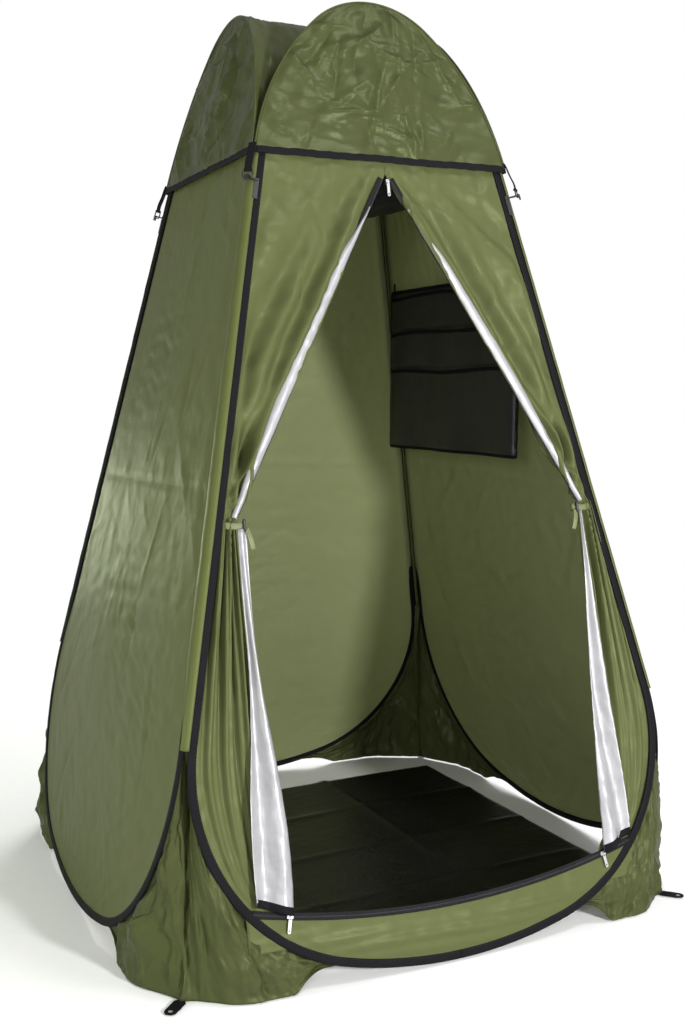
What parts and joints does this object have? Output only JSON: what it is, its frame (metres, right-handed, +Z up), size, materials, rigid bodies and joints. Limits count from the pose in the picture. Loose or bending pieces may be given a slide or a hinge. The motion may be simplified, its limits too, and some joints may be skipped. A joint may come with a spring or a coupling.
{
  "type": "privacy shower tent",
  "caption": "Tall free-standing pop-up shower tent: four leaning wire-loop panels hinged at the corners, lift-off domed hood, zipped door tied open, hanging organiser, floor mat.",
  "frame": {"origin": "centre of the ground square, on the ground under the mat", "axes": "+Z up, -Y out of the door, +X to the right of a person facing the door"},
  "size_m": [1.2548, 1.2548, 1.9102],
  "materials": {
    "wire": "satin",
    "black_tape": "matte",
    "olive_cloth": "satin",
    "hood_cloth": "satin",
    "black_net": "matte",
    "silver_lining": "satin",
    "zip_metal": "polished",
    "black_plastic": "satin",
    "mat_cloth": "satin",
    "zip_tape": "matte"
  },
  "bodies": {
    "front_panel": {"front_wire": "wire", "front_binding": "black_tape", "front_arch_net": "black_net", "front_sill": "olive_cloth", "left_curtain": "olive_cloth", "right_curtain": "olive_cloth", "sill_zip_tape": "zip_tape", "front_gussets": "olive_cloth", "tie_backs": "olive_cloth", "roof_net": "black_net", "front_corner_hooks": "black_plastic", "front_peg_tabs": "black_tape"},
    "left_panel": {"left_wire": "wire", "left_binding": "black_tape", "left_wall": "olive_cloth", "left_arch_net": "black_net", "left_gussets": "olive_cloth", "left_corner_hook": "black_plastic", "left_peg_tab": "black_tape"},
    "right_panel": {"right_wire": "wire", "right_binding": "black_tape", "right_wall": "olive_cloth", "right_arch_net": "black_net", "right_gussets": "olive_cloth", "right_corner_hook": "black_plastic", "right_peg_tab": "black_tape"},
    "back_panel": {"back_wire": "wire", "back_binding": "black_tape", "back_wall": "olive_cloth", "back_arch_net": "black_net", "back_gussets": "olive_cloth"},
    "hood": {"hood_front_panel": "hood_cloth", "hood_right_panel": "hood_cloth", "hood_back_panel": "hood_cloth", "hood_left_panel": "hood_cloth", "hood_roof": "hood_cloth", "hood_hem": "black_tape", "hood_straps": "black_tape", "hood_rings": "black_plastic"},
    "left_flap": {"left_lining": "silver_lining", "left_zip_tape": "zip_tape"},
    "right_flap": {"right_lining": "silver_lining", "right_zip_tape": "zip_tape"},
    "left_tail_body": {"left_tail": "silver_lining", "left_tail_hem": "black_tape"},
    "right_tail_body": {"right_tail": "silver_lining", "right_tail_hem": "black_tape"},
    "door_slider_body": {"door_slider": "zip_metal"},
    "door_pull_body": {"door_pull": "zip_metal"},
    "sill_slider_left_body": {"sill_slider_left": "zip_metal"},
    "sill_pull_left_body": {"sill_pull_left": "zip_metal"},
    "sill_slider_right_body": {"sill_slider_right": "zip_metal"},
    "sill_pull_right_body": {"sill_pull_right": "zip_metal"},
    "left_toggle_body": {"left_toggle": "black_plastic"},
    "right_toggle_body": {"right_toggle": "black_plastic"},
    "organiser": {"organiser_sheet": "black_net", "organiser_pockets": "black_net", "organiser_binding": "black_tape"},
    "mat": {"floor_mat": "mat_cloth"}
  },
  "joints": [
    {"name": "fold", "type": "hinge", "parent": "front_panel", "child": "left_panel", "pos_m": [-0.62, -0.62, 0], "axis": [0.2059, 0.2059, 0.9567], "range_deg": [0, 84], "deforming": ["hood_front_panel", "hood_right_panel", "hood_back_panel", "hood_left_panel", "hood_roof", "hood_hem", "hood_straps", "hood_rings", "roof_net", "front_gussets", "floor_mat", "organiser_sheet", "organiser_pockets", "organiser_binding"]},
    {"name": "fold_front_right", "type": "hinge", "parent": "front_panel", "child": "right_panel", "pos_m": [0.62, -0.62, 0], "axis": [-0.2059, 0.2059, 0.9567], "range_deg": [0, 85.34]},
    {"name": "fold_back_left", "type": "hinge", "parent": "left_panel", "child": "back_panel", "pos_m": [-0.62, 0.62, 0], "axis": [0.2059, -0.2059, 0.9567], "range_deg": [-85.34, 0], "deforming": ["back_gussets"]},
    {"name": "hood_lift", "type": "slide", "parent": "front_panel", "child": "hood", "axis": [0, 0, 1], "range_m": [0, 0.35]},
    {"name": "door_close", "type": "hinge", "parent": "front_panel", "child": "left_flap", "pos_m": [0, -0.29145, 1.55058], "axis": [0, -0.9776, 0.2104], "range_deg": [0, 28.95], "deforming": ["left_curtain", "left_tail", "left_tail_hem"]},
    {"name": "right_flap_close", "type": "hinge", "parent": "front_panel", "child": "right_flap", "pos_m": [0, -0.29145, 1.55058], "axis": [0, -0.9776, 0.2104], "range_deg": [-29, 0], "deforming": ["right_curtain", "right_tail", "right_tail_hem"]},
    {"name": "left_tail_swing", "type": "slide", "parent": "front_panel", "child": "left_tail_body", "axis": [0.9627, -0.057, -0.2647], "range_m": [0, 0.3729]},
    {"name": "right_tail_swing", "type": "slide", "parent": "front_panel", "child": "right_tail_body", "axis": [-0.9627, -0.057, -0.2647], "range_m": [0, 0.3729]},
    {"name": "door_zip", "type": "slide", "parent": "front_panel", "child": "door_slider_body", "axis": [0, -0.2104, -0.9776], "range_m": [0, 1.421]},
    {"name": "door_pull_flip", "type": "hinge", "parent": "door_slider_body", "child": "door_pull_body", "pos_m": [0, -0.30449, 1.53344], "axis": [1, 0, 0], "range_deg": [-100, 0]},
    {"name": "sill_zip_left", "type": "hinge", "parent": "front_panel", "child": "sill_slider_left_body", "pos_m": [0, -0.22244, 1.87124], "axis": [0, -0.9776, 0.2104], "range_deg": [0, 8.79]},
    {"name": "sill_pull_left_flip", "type": "hinge", "parent": "sill_slider_left_body", "child": "sill_pull_left_body", "pos_m": [-0.3519, -0.59991, 0.14731], "axis": [0.9807, -0.0411, -0.1912], "range_deg": [-100, 0]},
    {"name": "sill_zip_right", "type": "hinge", "parent": "front_panel", "child": "sill_slider_right_body", "pos_m": [0, -0.22244, 1.87124], "axis": [0, -0.9776, 0.2104], "range_deg": [-8.79, 0]},
    {"name": "sill_pull_right_flip", "type": "hinge", "parent": "sill_slider_right_body", "child": "sill_pull_right_body", "pos_m": [0.3519, -0.59991, 0.14731], "axis": [0.9807, 0.0411, 0.1912], "range_deg": [-100, 0]},
    {"name": "left_toggle_turn", "type": "hinge", "parent": "front_panel", "child": "left_toggle_body", "pos_m": [-0.378, -0.44739, 0.85584], "axis": [0, -0.9776, 0.2104], "range_deg": [-90, 90]},
    {"name": "right_toggle_turn", "type": "hinge", "parent": "front_panel", "child": "right_toggle_body", "pos_m": [0.378, -0.44739, 0.85584], "axis": [0, -0.9776, 0.2104], "range_deg": [-90, 90]},
    {"name": "organiser_swing", "type": "hinge", "parent": "right_panel", "child": "organiser", "pos_m": [0.32584, 0, 1.36], "axis": [0, 1, 0], "range_deg": [-12, 50]},
    {"name": "mat_slide", "type": "slide", "parent": "front_panel", "child": "mat", "axis": [0, -1, 0], "range_m": [0, 0.9]}
  ],
  "couplings": [
    {"joint": "fold_front_right", "follows": "fold", "ratio": 1.01},
    {"joint": "fold_back_left", "follows": "fold", "ratio": -1.01},
    {"joint": "right_flap_close", "follows": "door_close", "ratio": -1},
    {"joint": "left_tail_swing", "follows": "door_close", "m_per_rad": 0.73599},
    {"joint": "right_tail_swing", "follows": "door_close", "m_per_rad": 0.73599},
    {"joint": "door_zip", "follows": "door_close", "m_per_rad": 2.8103}
  ]
}
